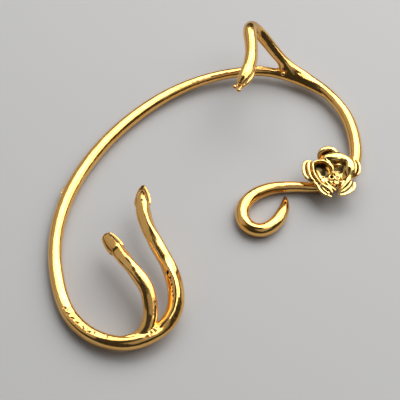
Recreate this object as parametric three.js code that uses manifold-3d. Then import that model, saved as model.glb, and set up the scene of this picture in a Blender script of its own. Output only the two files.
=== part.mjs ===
// Clip-on earring: a serpent ear cuff with a flower. Millimetres, +Z up.
// It lies on its back as on a table, with the origin at the bottom centre of its box.
import * as THREE from "three";
import { mergeVertices } from "three/addons/utils/BufferGeometryUtils.js";
import Module from "manifold-3d";

const wasm = await Module();
wasm.setup();

// Fineness of the facets.
const WIRE_SIDES = 12;
const RING_STEP = 1.25;
const PETAL_COLUMNS = 8;
const PETAL_ROWS = 4;

const GOLD = { color: 0xd8a23a, metalness: 1, roughness: 0.18 };

// The wires, station by station: where the centre line passes in plan, how far the
// underside is lifted off the table, and how thick the wire is.

// The hoop runs from the joint, behind the ear, to the fork, and on as the outer prong.
const HOOP_AND_OUTER_PRONG = [
  { x: 22.6, y: 21.4, lift: 1.1, thick: 1.5 },
  { x: 20.9, y: 22.8, lift: 1.0, thick: 1.7 },
  { x: 16.9, y: 25.1, lift: 1.0, thick: 1.8 },
  { x: 11.3, y: 27.0, lift: 0.95, thick: 1.9 },
  { x: 4.9, y: 26.7, lift: 0.9, thick: 1.9 },
  { x: -2.1, y: 24.7, lift: 0.6, thick: 2.05 },
  { x: -8.4, y: 21.3, lift: 0.2, thick: 2.3 },
  { x: -14.1, y: 16.6, lift: 0.0, thick: 2.45 },
  { x: -18.9, y: 11.2, lift: 0.0, thick: 2.5 },
  { x: -22.9, y: 4.9, lift: 0.0, thick: 2.6 },
  { x: -25.8, y: -2.1, lift: 0.0, thick: 2.6 },
  { x: -27.1, y: -9.4, lift: 0.0, thick: 2.5 },
  { x: -26.6, y: -17.1, lift: 0.0, thick: 2.5 },
  { x: -24.1, y: -24.7, lift: 0.1, thick: 2.5 },
  { x: -19.7, y: -29.2, lift: 0.5, thick: 2.5 },
  { x: -14.7, y: -30.8, lift: 0.9, thick: 2.55 },
  { x: -11.1, y: -30.15, lift: 1.1, thick: 2.55 },
  { x: -8.0, y: -28.15, lift: 1.1, thick: 2.55 },
  { x: -5.9, y: -25.0, lift: 1.65, thick: 2.6 },
  { x: -5.6, y: -21.45, lift: 2.65, thick: 2.6 },
  { x: -6.8, y: -17.2, lift: 3.2, thick: 2.5 },
  { x: -9.0, y: -13.0, lift: 3.75, thick: 2.6 },
  { x: -10.9, y: -9.0, lift: 4.4, thick: 2.5 },
  { x: -11.55, y: -5.9, lift: 4.7, thick: 2.4 },
  { x: -11.65, y: -0.95, lift: 4.3, thick: 2.4 },
];

// The inner prong leaves the hoop at the fork.
const INNER_PRONG = [
  { x: -14.7, y: -30.8, lift: 0.9, thick: 2.4 },
  { x: -11.8, y: -29.85, lift: 1.0, thick: 2.5 },
  { x: -10.2, y: -27.7, lift: 1.55, thick: 2.55 },
  { x: -9.9, y: -25.1, lift: 2.6, thick: 2.55 },
  { x: -10.5, y: -22.0, lift: 3.95, thick: 2.55 },
  { x: -12.3, y: -19.3, lift: 4.65, thick: 2.5 },
  { x: -14.5, y: -16.35, lift: 4.75, thick: 2.35 },
  { x: -18.1, y: -10.95, lift: 4.15, thick: 2.35 },
];

// The serpent runs from its tail tip, round the curl, under the flower, past the joint,
// up over the hook and forward to its snout.
const SERPENT = [
  { x: 14.0, y: -0.4, lift: 0.25, thick: 0.5 },
  { x: 14.0, y: -1.4, lift: 0.1, thick: 1.4 },
  { x: 13.7, y: -3.2, lift: 0.0, thick: 2.15 },
  { x: 12.1, y: -6.3, lift: 0.0, thick: 2.6 },
  { x: 9.4, y: -7.9, lift: 0.0, thick: 2.5 },
  { x: 6.8, y: -6.7, lift: 0.0, thick: 2.55 },
  { x: 6.1, y: -3.7, lift: 0.0, thick: 2.6 },
  { x: 7.9, y: -0.7, lift: 0.0, thick: 2.45 },
  { x: 11.4, y: 1.1, lift: 0.0, thick: 2.3 },
  { x: 15.7, y: 1.5, lift: 0.1, thick: 2.0 },
  { x: 20.4, y: 1.4, lift: 0.1, thick: 1.95 },
  { x: 24.8, y: 2.7, lift: 0.2, thick: 2.1 },
  { x: 27.0, y: 6.8, lift: 0.3, thick: 2.3 },
  { x: 27.1, y: 11.9, lift: 0.55, thick: 2.4 },
  { x: 25.7, y: 17.1, lift: 0.75, thick: 2.3 },
  { x: 22.7, y: 21.7, lift: 0.85, thick: 2.15 },
  { x: 18.9, y: 25.2, lift: 0.95, thick: 2.2 },
  { x: 15.2, y: 27.5, lift: 2.1, thick: 2.2 },
  { x: 13.0, y: 28.8, lift: 4.1, thick: 2.2 },
  { x: 10.9, y: 30.1, lift: 6.4, thick: 2.4 },
  { x: 8.9, y: 30.8, lift: 8.8, thick: 2.45 },
  { x: 8.0, y: 30.3, lift: 10.05, thick: 2.5 },
  { x: 7.75, y: 28.4, lift: 10.8, thick: 2.55 },
  { x: 8.0, y: 25.4, lift: 11.05, thick: 2.5 },
  { x: 7.9, y: 22.4, lift: 11.1, thick: 2.45 },
  { x: 7.1, y: 19.2, lift: 11.0, thick: 2.4 },
  { x: 5.65, y: 16.3, lift: 10.8, thick: 2.4 },
];

// The serpent heads, measured back from the tip of the wire: width and height of the section.
const SPADE_HEAD = [
  { back: 5.2, wide: 2.4, high: 2.4 },
  { back: 4.5, wide: 2.75, high: 2.3 },
  { back: 4.0, wide: 3.2, high: 2.15 },
  { back: 3.3, wide: 3.2, high: 2.0 },
  { back: 2.3, wide: 2.85, high: 1.75 },
  { back: 1.3, wide: 2.25, high: 1.35 },
  { back: 0.5, wide: 1.4, high: 0.9 },
  { back: 0.0, wide: 0.5, high: 0.4 },
];
const HOOK_HEAD = [
  { back: 5.4, wide: 2.45, high: 2.45 },
  { back: 4.2, wide: 2.6, high: 2.2 },
  { back: 3.0, wide: 2.65, high: 1.9 },
  { back: 1.8, wide: 2.4, high: 1.6 },
  { back: 0.8, wide: 1.9, high: 1.3 },
  { back: 0.2, wide: 1.3, high: 0.9 },
  { back: 0.0, wide: 0.6, high: 0.5 },
];
const LOWER_JAW = [
  { x: 7.7, y: 21.3, lift: 10.9, thick: 1.6 },
  { x: 7.4, y: 19.5, lift: 10.35, thick: 1.7 },
  { x: 6.9, y: 18.1, lift: 10.2, thick: 1.5 },
  { x: 6.4, y: 17.2, lift: 10.3, thick: 0.9 },
];

// The forked tongue: two thin prongs out of the mouth, each with a bead on its end.
const TONGUE = {
  root: { x: 6.2, y: 17.1, z: 11.6 },
  ends: [{ x: 4.85, y: 16.2, z: 11.7 }, { x: 5.6, y: 15.6, z: 11.5 }],
  rodThick: 0.5,
  beadThick: 0.8,
};

// Solder where two wires meet: centre and thickness of each blob.
const SOLDER = [
  { x: -9.2, y: -28.3, z: 2.55, thick: 2.3 },
  { x: 14.8, y: 26.5, z: 2.2, thick: 1.5 },
];

// The flower: its axis in plan, its seat over the wire and the cup that carries the petals.
const FLOWER = { x: 22.4, y: 2.7, seatGap: 0.3 };
const RECEPTACLE = [
  { radius: 0.0, z: 1.2 },
  { radius: 1.6, z: 1.2 },
  { radius: 2.3, z: 1.9 },
  { radius: 2.6, z: 2.9 },
  { radius: 2.2, z: 3.3 },
  { radius: 0.0, z: 3.5 },
];
const RECEPTACLE_SIDES = 20;

// Each petal is a scoop from the flower's centre out to a C-shaped rim. The rim's arc has
// its centre `out` from the axis in the direction `turn`, and covers `spread` to each side.
const PETALS = [
  { name: "outer back", turn: 97, out: 3.4, radius: 1.95, rim: 4.1, spread: 105 },
  { name: "outer left", turn: 172, out: 3.2, radius: 2.1, rim: 4.0, spread: 100 },
  { name: "outer front left", turn: 243, out: 3.0, radius: 2.0, rim: 3.9, spread: 95 },
  { name: "outer front right", turn: 317, out: 3.3, radius: 2.1, rim: 3.9, spread: 100 },
  { name: "outer right", turn: 21, out: 3.1, radius: 2.1, rim: 4.1, spread: 100 },
  { name: "middle left", turn: 168, out: 2.6, radius: 1.85, rim: 4.6, spread: 95 },
  { name: "middle front left", turn: 250, out: 2.5, radius: 1.9, rim: 4.3, spread: 90 },
  { name: "middle front right", turn: 308, out: 2.5, radius: 2.1, rim: 4.5, spread: 95 },
  { name: "middle right", turn: 20, out: 2.5, radius: 1.9, rim: 4.7, spread: 95 },
  { name: "inner left", turn: 155, out: 1.9, radius: 1.65, rim: 5.1, spread: 120 },
  { name: "inner right", turn: 38, out: 1.6, radius: 2.0, rim: 5.2, spread: 110 },
  { name: "inner front", turn: 262, out: 1.9, radius: 1.5, rim: 4.5, spread: 95 },
];
const PETAL = { heartRadius: 0.7, heartZ: 3.0, heartSpread: 25, thick: 0.55, lip: 0.85, droop: 0.45 };

// Stamens: short beads round the flower's heart.
const STAMENS = { count: 5, ring: 0.75, thick: 0.8, z: 3.6 };

const UP = new THREE.Vector3(0, 0, 1);
const radians = THREE.MathUtils.degToRad;
const plan = (spot) => new THREE.Vector3(spot.x, spot.y, spot.z);

// Reads the value of `key` at `at` from rows sorted by `by`, straight between rows.
function readAlong(rows, by, key, at) {
  const next = rows.findIndex((row) => row[by] >= at);
  if (next < 0) return rows.at(-1)[key];
  if (next === 0) return rows[0][key];
  const [before, after] = [rows[next - 1], rows[next]];
  const share = (at - before[by]) / (after[by] - before[by]);
  return THREE.MathUtils.lerp(before[key], after[key], share);
}

// A smooth centre line through the stations, with the distance along it to each station.
function centreLine(stations) {
  const points = stations.map((row) => new THREE.Vector3(row.x, row.y, row.lift + row.thick / 2));
  const curve = new THREE.CatmullRomCurve3(points, false, "centripetal");
  const finePerSpan = 40;
  curve.arcLengthDivisions = finePerSpan * (points.length - 1);
  const lengths = curve.getLengths();
  const rows = stations.map((row, index) => ({ ...row, along: lengths[index * finePerSpan] }));
  return { curve, rows, length: lengths.at(-1) };
}

// The rings of a wire: round sections along the line, then the head's own sections at its end.
function wireRings(stations, head = [], extra = 0) {
  const { curve, rows, length } = centreLine(stations);
  const bodyLength = length - (head.length ? head[0].back : 0);
  const count = Math.ceil(bodyLength / RING_STEP);
  const rings = [];
  const addRing = (along, wide, high) => {
    const share = along / length;
    const tangent = curve.getTangentAt(share);
    const side = new THREE.Vector3().crossVectors(UP, tangent).normalize();
    const top = new THREE.Vector3().crossVectors(tangent, side);
    rings.push({ centre: curve.getPointAt(share), side, top, wide: wide + extra, high: high + extra });
  };
  for (let step = 0; step <= count; step += 1) {
    const along = (bodyLength * step) / count;
    const thick = readAlong(rows, "along", "thick", along);
    addRing(along, thick, thick);
  }
  for (const row of head.slice(1)) addRing(length - row.back, row.wide, row.high);
  return rings;
}

// Joins elliptical rings into one closed skin with a flat cap at each end.
function skinOver(rings) {
  const positions = [];
  const faces = [];
  for (const { centre, side, top, wide, high } of rings) {
    for (let corner = 0; corner < WIRE_SIDES; corner += 1) {
      const angle = (2 * Math.PI * corner) / WIRE_SIDES;
      const point = centre.clone();
      point.addScaledVector(side, (wide / 2) * Math.cos(angle));
      point.addScaledVector(top, (high / 2) * Math.sin(angle));
      positions.push(...point.toArray());
    }
  }
  const corner = (ring, index) => ring * WIRE_SIDES + (index % WIRE_SIDES);
  for (let ring = 0; ring < rings.length - 1; ring += 1) {
    for (let index = 0; index < WIRE_SIDES; index += 1) {
      const [a, b] = [corner(ring, index), corner(ring, index + 1)];
      const [c, d] = [corner(ring + 1, index), corner(ring + 1, index + 1)];
      faces.push(a, b, d, a, d, c);
    }
  }
  const last = rings.length - 1;
  for (let index = 1; index < WIRE_SIDES - 1; index += 1) {
    faces.push(corner(0, 0), corner(0, index + 1), corner(0, index));
    faces.push(corner(last, 0), corner(last, index), corner(last, index + 1));
  }
  return closedGeometry(positions, faces);
}

function closedGeometry(positions, faces) {
  const geometry = new THREE.BufferGeometry();
  geometry.setAttribute("position", new THREE.Float32BufferAttribute(positions, 3));
  geometry.setIndex(faces);
  return geometry;
}

function toSolid(geometry) {
  geometry.deleteAttribute("normal");
  geometry.deleteAttribute("uv");
  const merged = mergeVertices(geometry, 1e-4);
  const mesh = new wasm.Mesh({
    numProp: 3,
    vertProperties: new Float32Array(merged.attributes.position.array),
    triVerts: new Uint32Array(merged.index.array),
  });
  return new wasm.Manifold(mesh);
}

function toMesh(name, solid) {
  const { vertProperties, triVerts } = solid.getMesh();
  const mesh = new THREE.Mesh(
    closedGeometry(Array.from(vertProperties), Array.from(triVerts)),
    new THREE.MeshStandardMaterial(GOLD),
  );
  mesh.name = name;
  return mesh;
}

const join = (solids) => solids.reduce((whole, solid) => whole.add(solid));
const wire = (stations, head, extra) => toSolid(skinOver(wireRings(stations, head, extra)));

function bead(spot, thick) {
  const geometry = new THREE.IcosahedronGeometry(thick / 2, 1);
  return toSolid(geometry.translate(spot.x, spot.y, spot.z));
}

function rod(from, to, thick) {
  const [start, end] = [plan(from), plan(to)];
  const along = end.clone().sub(start);
  const geometry = new THREE.CylinderGeometry(thick / 2, thick / 2, along.length(), 8);
  const turn = new THREE.Quaternion().setFromUnitVectors(new THREE.Vector3(0, 1, 0), along.normalize());
  const middle = start.add(end).multiplyScalar(0.5);
  return toSolid(geometry.applyQuaternion(turn).translate(middle.x, middle.y, middle.z));
}

function earWire() {
  const tongue = TONGUE.ends.flatMap((end) => [
    rod(TONGUE.root, end, TONGUE.rodThick),
    bead(end, TONGUE.beadThick),
  ]);
  return join([
    wire(HOOP_AND_OUTER_PRONG, SPADE_HEAD),
    wire(INNER_PRONG, SPADE_HEAD),
    wire(SERPENT, HOOK_HEAD),
    wire(LOWER_JAW),
    ...tongue,
    ...SOLDER.map((blob) => bead(blob, blob.thick)),
  ]);
}

// A point of a petal's middle surface: `across` runs from -1 to 1 along the rim's arc, and
// `rise` from 0 at the flower's heart to 1 at the rim, on a quarter of an ellipse.
function petalPoint(petal, across, rise) {
  const turn = radians(petal.turn);
  const heartTurn = turn + radians(PETAL.heartSpread) * across;
  const rimTurn = turn + radians(petal.spread) * across;
  const heartX = PETAL.heartRadius * Math.cos(heartTurn);
  const heartY = PETAL.heartRadius * Math.sin(heartTurn);
  const rimX = petal.out * Math.cos(turn) + petal.radius * Math.cos(rimTurn);
  const rimY = petal.out * Math.sin(turn) + petal.radius * Math.sin(rimTurn);
  const rimZ = petal.rim - PETAL.droop * across * across;
  const outward = Math.sin((rise * Math.PI) / 2);
  const upward = 1 - Math.cos((rise * Math.PI) / 2);
  return new THREE.Vector3(
    FLOWER.x + THREE.MathUtils.lerp(heartX, rimX, outward),
    FLOWER.y + THREE.MathUtils.lerp(heartY, rimY, outward),
    THREE.MathUtils.lerp(PETAL.heartZ, rimZ, upward),
  );
}

// A petal as a closed shell: its middle surface thickened both ways, and more at the lip.
function petalSolid(petal) {
  const nudge = 0.01;
  const positions = [];
  const faces = [];
  const across = (column) => (2 * column) / PETAL_COLUMNS - 1;
  const rise = (row) => row / PETAL_ROWS;
  for (const face of [1, -1]) {
    for (let row = 0; row <= PETAL_ROWS; row += 1) {
      for (let column = 0; column <= PETAL_COLUMNS; column += 1) {
        const [u, v] = [across(column), rise(row)];
        const alongRim = petalPoint(petal, u + nudge, v).sub(petalPoint(petal, u - nudge, v));
        const alongRise = petalPoint(petal, u, v + nudge).sub(petalPoint(petal, u, v - nudge));
        const normal = alongRim.cross(alongRise).normalize();
        const half = THREE.MathUtils.lerp(PETAL.thick, PETAL.lip, v ** 6) / 2;
        positions.push(...petalPoint(petal, u, v).addScaledVector(normal, face * half).toArray());
      }
    }
  }
  const perFace = (PETAL_ROWS + 1) * (PETAL_COLUMNS + 1);
  const at = (face, row, column) => face * perFace + row * (PETAL_COLUMNS + 1) + column;
  const quad = (a, b, c, d) => faces.push(a, b, c, a, c, d);
  for (let row = 0; row < PETAL_ROWS; row += 1) {
    for (let column = 0; column < PETAL_COLUMNS; column += 1) {
      quad(at(0, row, column), at(0, row, column + 1), at(0, row + 1, column + 1), at(0, row + 1, column));
      quad(at(1, row, column), at(1, row + 1, column), at(1, row + 1, column + 1), at(1, row, column + 1));
    }
  }
  for (let column = 0; column < PETAL_COLUMNS; column += 1) {
    quad(at(1, 0, column), at(1, 0, column + 1), at(0, 0, column + 1), at(0, 0, column));
    quad(at(0, PETAL_ROWS, column), at(0, PETAL_ROWS, column + 1), at(1, PETAL_ROWS, column + 1),
      at(1, PETAL_ROWS, column));
  }
  for (let row = 0; row < PETAL_ROWS; row += 1) {
    quad(at(0, row, 0), at(0, row + 1, 0), at(1, row + 1, 0), at(1, row, 0));
    quad(at(1, row, PETAL_COLUMNS), at(1, row + 1, PETAL_COLUMNS), at(0, row + 1, PETAL_COLUMNS),
      at(0, row, PETAL_COLUMNS));
  }
  return toSolid(closedGeometry(positions, faces));
}

function flower() {
  const profile = RECEPTACLE.map((row) => new THREE.Vector2(row.radius, row.z));
  const cup = new THREE.LatheGeometry(profile, RECEPTACLE_SIDES).rotateX(Math.PI / 2);
  const stamens = Array.from({ length: STAMENS.count }, (_, index) => {
    const turn = (2 * Math.PI * index) / STAMENS.count;
    const x = FLOWER.x + STAMENS.ring * Math.cos(turn);
    const y = FLOWER.y + STAMENS.ring * Math.sin(turn);
    return bead({ x, y, z: STAMENS.z }, STAMENS.thick);
  });
  const whole = join([
    toSolid(cup.translate(FLOWER.x, FLOWER.y, 0)),
    ...PETALS.map(petalSolid),
    ...stamens,
  ]);
  return whole.subtract(wire(SERPENT, HOOK_HEAD, 2 * FLOWER.seatGap));
}

const earring = new THREE.Group();
earring.add(toMesh("ear_wire", earWire()), toMesh("flower", flower()));

export default earring;
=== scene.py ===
"""Clip-on earring: a serpent ear cuff of gold-plated wire with a cast flower.

The tables hold millimetres in the part's own frame: +Z up from the surface that the earring
lies on, +Y from the lobe prongs to the hook, +X towards the flower. Shapes are worked out in
millimetres and scaled to metres when a piece is finished.
"""
import math

import bpy
import numpy as np
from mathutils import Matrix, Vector


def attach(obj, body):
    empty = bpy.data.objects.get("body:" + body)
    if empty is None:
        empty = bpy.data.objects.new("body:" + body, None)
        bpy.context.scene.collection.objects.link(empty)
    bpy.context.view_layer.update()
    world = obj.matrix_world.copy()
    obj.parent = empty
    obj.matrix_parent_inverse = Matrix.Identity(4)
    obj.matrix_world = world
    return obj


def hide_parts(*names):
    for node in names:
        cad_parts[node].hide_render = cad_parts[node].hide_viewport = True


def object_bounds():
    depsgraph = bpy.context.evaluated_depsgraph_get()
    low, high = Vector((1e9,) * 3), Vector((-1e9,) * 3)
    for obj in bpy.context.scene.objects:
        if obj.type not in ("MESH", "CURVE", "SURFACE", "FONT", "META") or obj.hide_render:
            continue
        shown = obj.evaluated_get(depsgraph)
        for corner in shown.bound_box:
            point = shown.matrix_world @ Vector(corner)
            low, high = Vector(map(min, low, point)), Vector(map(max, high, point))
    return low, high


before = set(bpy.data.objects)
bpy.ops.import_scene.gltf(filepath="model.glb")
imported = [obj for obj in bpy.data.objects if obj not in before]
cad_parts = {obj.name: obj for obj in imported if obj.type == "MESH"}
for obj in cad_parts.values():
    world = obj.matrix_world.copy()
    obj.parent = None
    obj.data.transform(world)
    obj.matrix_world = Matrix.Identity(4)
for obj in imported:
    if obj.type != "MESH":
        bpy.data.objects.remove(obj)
cad_low, cad_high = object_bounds()

MM = 0.001
UP = np.array([0.0, 0.0, 1.0])

# ---------------------------------------------------------------------------------------
# The wires: x, y, lift of the underside off the table, thickness
# ---------------------------------------------------------------------------------------

# The hoop runs from the joint, behind the ear, to the fork, and on as the outer prong.
HOOP_AND_OUTER_PRONG = [
    (22.6, 21.4, 1.1, 1.5),
    (20.9, 22.8, 1.0, 1.7),
    (16.9, 25.1, 1.0, 1.8),
    (11.3, 27.0, 0.95, 1.9),
    (4.9, 26.7, 0.9, 1.9),
    (-2.1, 24.7, 0.6, 2.05),
    (-8.4, 21.3, 0.2, 2.3),
    (-14.1, 16.6, 0.0, 2.45),
    (-18.9, 11.2, 0.0, 2.5),
    (-22.9, 4.9, 0.0, 2.6),
    (-25.8, -2.1, 0.0, 2.6),
    (-27.1, -9.4, 0.0, 2.5),
    (-26.6, -17.1, 0.0, 2.5),
    (-24.1, -24.7, 0.1, 2.5),
    (-19.7, -29.2, 0.5, 2.5),
    (-14.7, -30.8, 0.9, 2.55),
    (-11.1, -30.15, 1.1, 2.55),
    (-8.0, -28.15, 1.1, 2.55),
    (-5.9, -25.0, 1.65, 2.6),
    (-5.6, -21.45, 2.65, 2.6),
    (-6.8, -17.2, 3.2, 2.5),
    (-9.0, -13.0, 3.75, 2.6),
    (-10.9, -9.0, 4.4, 2.5),
    (-11.55, -5.9, 4.7, 2.4),
    (-11.65, -0.95, 4.3, 2.4),
]

# The inner prong leaves the hoop at the fork.
INNER_PRONG = [
    (-14.7, -30.8, 0.9, 2.4),
    (-11.8, -29.85, 1.0, 2.5),
    (-10.2, -27.7, 1.55, 2.55),
    (-9.9, -25.1, 2.6, 2.55),
    (-10.5, -22.0, 3.95, 2.55),
    (-12.3, -19.3, 4.65, 2.5),
    (-14.5, -16.35, 4.75, 2.35),
    (-18.1, -10.95, 4.15, 2.35),
]

# The serpent runs from its tail tip, round the curl, under the flower, past the joint, up
# over the hook and forward to its snout.
SERPENT = [
    (14.0, -0.4, 0.25, 0.5),
    (14.0, -1.4, 0.1, 1.4),
    (13.7, -3.2, 0.0, 2.15),
    (12.1, -6.3, 0.0, 2.6),
    (9.4, -7.9, 0.0, 2.5),
    (6.8, -6.7, 0.0, 2.55),
    (6.1, -3.7, 0.0, 2.6),
    (7.9, -0.7, 0.0, 2.45),
    (11.4, 1.1, 0.0, 2.3),
    (15.7, 1.5, 0.1, 2.0),
    (20.4, 1.4, 0.1, 1.95),
    (24.8, 2.7, 0.2, 2.1),
    (27.0, 6.8, 0.3, 2.3),
    (27.1, 11.9, 0.55, 2.4),
    (25.7, 17.1, 0.75, 2.3),
    (22.7, 21.7, 0.85, 2.15),
    (18.9, 25.2, 0.95, 2.2),
    (15.2, 27.5, 2.1, 2.2),
    (13.0, 28.8, 4.1, 2.2),
    (10.9, 30.1, 6.4, 2.4),
    (8.9, 30.8, 8.8, 2.45),
    (8.0, 30.3, 10.05, 2.5),
    (7.75, 28.4, 10.8, 2.55),
    (8.0, 25.4, 11.05, 2.5),
    (7.9, 22.4, 11.1, 2.45),
    (7.1, 19.2, 11.0, 2.4),
    (5.65, 16.3, 10.8, 2.4),
]

# Fineness of the curves through the stations, and of the wires' skins: rings CLOSE_STEP apart
# near joints and pits, RING_STEP apart elsewhere, changing over CLOSE_FADE.
SPAN_POINTS = 40
WIRE_SIDES = 48
RING_STEP = 0.4
CLOSE_STEP = 0.12
CLOSE_FADE = 2
# Step along a wire's path, and the softness of the path and of its thickness.
PATH_STEP = 0.05
PATH_SOFTNESS = 0.7
THICKNESS_SOFTNESS = 1.6

# Flattened faces on the wires: distance back from the tip, the power of the section's sine
# and cosine (1 is round) and the face's roll in degrees, to the left as seen from the tip.
OUTER_FACES = [
    (0.0, 0.72, 12),
    (4.4, 0.72, 12),
    (6.2, 0.64, 34),
    (9.0, 0.64, 34),
    (12.5, 0.7, 0),
    (16.0, 0.72, 0),
    (20.0, 0.68, -48),
    (27.5, 0.7, -48),
    (32.0, 1.0, 0),
    (36.0, 1.0, 3),
    (41.0, 0.75, 5),
    (47.0, 0.7, 8),
    (57.0, 0.75, 8),
    (65.0, 1.0, 4),
]
INNER_FACES = [
    (0.0, 0.72, 8),
    (4.0, 0.72, 8),
    (5.2, 0.64, 32),
    (7.0, 0.64, 32),
    (9.5, 0.7, 0),
    (24.0, 0.72, 0),
]
SERPENT_FACES = [(0.0, 1.0, 0), (5.0, 1.0, 0)]

# Soldered joints: x, y, how far round them the skin is worked, softness of the fillet.
FORK = (-10.4, -28.0, 6.0, 0.4)
HOOP_END = (17.5, 25.6, 6.5, 1.5)
FILLET_ROUNDS = 4
FILLET_FADE = 2
# Fine rings also lie round the row of pits and the tail's tip: x, y and how far they reach.
PITTED = (-6.1, -22.5, 5.0)
TAIL_TIP = (14.0, -1.0, 2.0)

# The neck of a serpent's head is worked with the head. Distances back from the snout: where
# the neck starts, over how much it swells to the wire's thickness, how far it reaches, and
# over how much of its back end it sinks. Then how far it stands out over the wire in front,
# and how far it dives under the wire's skin behind.
NECK_START = 2.6
NECK_SWELL = 1.6
NECK_REACH = 9.0
NECK_RUN = 3.0
NECK_PROUD = 0.012
NECK_DIVE = 0.2
# The seam behind a neck is smoothed within SEAM_REACH of it, fading in over SEAM_FADE.
SEAM_PAST = 0.5
SEAM_REACH = 2.6
SEAM_FADE = 1.2
SEAM_ROUNDS = 24
# The wire's own end, hidden in the head: distance back from the snout, width and height, and
# over how much the wire changes to it.
END_BLEND = 0.8
WIRE_END = [
    (7.0, 2.4, 2.4),
    (6.4, 2.0, 2.0),
    (5.6, 1.6, 1.6),
    (5.0, 0.6, 0.6),
]

# The flange and the crown of each head, from the tip back into the neck: distance back, half
# width, and the heights of underside and top from the wire's centre line.
POINTED_FLANGE = [
    (0.0, 0.12, -0.1, 0.25),
    (0.15, 0.35, -0.25, 0.36),
    (0.5, 0.6, -0.4, 0.48),
    (1.2, 0.96, -0.55, 0.52),
    (2.2, 1.3, -0.68, 0.5),
    (3.2, 1.53, -0.75, 0.44),
    (3.9, 1.58, -0.75, 0.35),
    (4.4, 1.44, -0.7, 0.2),
    (4.9, 1.12, -0.6, 0.0),
    (5.6, 0.8, -0.5, -0.1),
]
POINTED_CROWN = [
    (1.45, 0.1, -0.1, 0.4),
    (1.55, 0.35, -0.2, 0.7),
    (1.9, 0.58, -0.3, 0.95),
    (2.5, 0.78, -0.4, 1.16),
    (3.2, 0.9, -0.5, 1.3),
    (3.9, 0.98, -0.5, 1.36),
    (4.8, 0.96, -0.5, 1.2),
    (5.8, 0.6, -0.4, 0.7),
]
ROUND_FLANGE = [
    (0.0, 0.2, -0.1, 0.2),
    (0.12, 0.6, -0.25, 0.32),
    (0.45, 0.98, -0.4, 0.42),
    (1.1, 1.28, -0.55, 0.44),
    (2.1, 1.48, -0.68, 0.4),
    (3.2, 1.56, -0.75, 0.34),
    (4.0, 1.5, -0.75, 0.25),
    (4.5, 1.3, -0.65, 0.15),
    (4.9, 1.0, -0.55, 0.05),
    (5.3, 0.6, -0.4, -0.05),
]
ROUND_CROWN = [
    (0.55, 0.25, -0.1, 0.4),
    (0.66, 0.52, -0.2, 0.56),
    (0.95, 0.76, -0.3, 0.7),
    (1.7, 0.94, -0.4, 0.9),
    (2.6, 1.02, -0.5, 1.1),
    (3.4, 1.04, -0.5, 1.28),
    (3.9, 1.0, -0.5, 1.38),
    (4.4, 0.88, -0.4, 1.36),
    (5.2, 0.4, -0.3, 0.9),
]
HOOK_JAW = [
    (0.0, 0.12, -0.75, -0.5),
    (0.15, 0.4, -0.95, -0.4),
    (0.5, 0.75, -1.1, -0.32),
    (1.2, 1.08, -1.2, -0.28),
    (2.2, 1.3, -1.28, -0.25),
    (3.2, 1.4, -1.3, -0.25),
    (4.2, 1.3, -1.25, -0.3),
    (5.0, 0.9, -1.0, -0.4),
]
HOOK_CROWN = [
    (0.1, 0.2, -0.15, 0.3),
    (0.3, 0.5, -0.2, 0.6),
    (0.8, 0.8, -0.3, 0.85),
    (1.6, 1.0, -0.4, 1.05),
    (2.6, 1.14, -0.5, 1.18),
    (3.8, 1.2, -0.6, 1.22),
    (4.8, 1.0, -0.6, 1.1),
    (5.4, 0.6, -0.5, 0.8),
]
# Fineness of the heads; a power over 1 crowds the rings towards the tip.
HEAD_SIDES = 64
HEAD_RINGS = 90
HEAD_CROWDING = 1.3
HEAD_VOXEL = 0.09
# The hollow inside a flange's rim: its depth, the rim's width, the softness of the painted
# shade in its groove, how far back from the tip it reaches and how far from the centre line.
RIM_DISH = 0.3
RIM_WIDTH = 0.26
GROOVE_EDGE = 0.14
GROOVE_REACH = 4.6
GROOVE_RADIUS = 2

# The forked tongue: where it leaves the mouth, its two ends, its thickness and its beads'.
TONGUE_ROOT = (6.2, 17.1, 11.6)
TONGUE_ENDS = [(4.85, 16.2, 11.7), (5.6, 15.6, 11.5)]
TONGUE_THICK = 0.5
TONGUE_BEAD = 0.8

# Solder run together in the fork: centre and the three half axes. Its creases are smoothed
# within SOLDER_REACH of a centre, fading in over SOLDER_FADE.
SOLDER_REACH = 1.3
SOLDER_FADE = 0.5
SOLDER_ROUNDS = 5
SOLDER = [
    ((-9.05, -28.75, 3.3), (0.56, 0.5, 0.52)),
    ((-9.6, -29.2, 3.3), (0.4, 0.32, 0.46)),
    ((-8.6, -28.4, 3.25), (0.4, 0.36, 0.45)),
    ((-10.15, -29.9, 3.25), (0.3, 0.34, 0.4)),
]

# Beads of solder, casting lumps and a sliver along the hoop's back.
LUMPS = [
    ((14.4, 26.0, 2.5), (0.6, 0.5, 0.55)),
    ((12.7, 28.1, 5.6), (0.3, 0.3, 0.35)),
    ((13.2, 27.9, 5.0), (0.28, 0.3, 0.35)),
    ((9.9, 27.5, 2.35), (0.8, 0.5, 0.5)),
    ((-26.52, -0.1, 1.4), (0.2, 0.42, 0.3)),
    ((-26.3, 0.33, 1.45), (0.24, 0.45, 0.36)),
    ((-26.07, 0.76, 1.45), (0.22, 0.45, 0.34)),
    ((-25.84, 1.2, 1.4), (0.17, 0.4, 0.27)),
]
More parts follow.
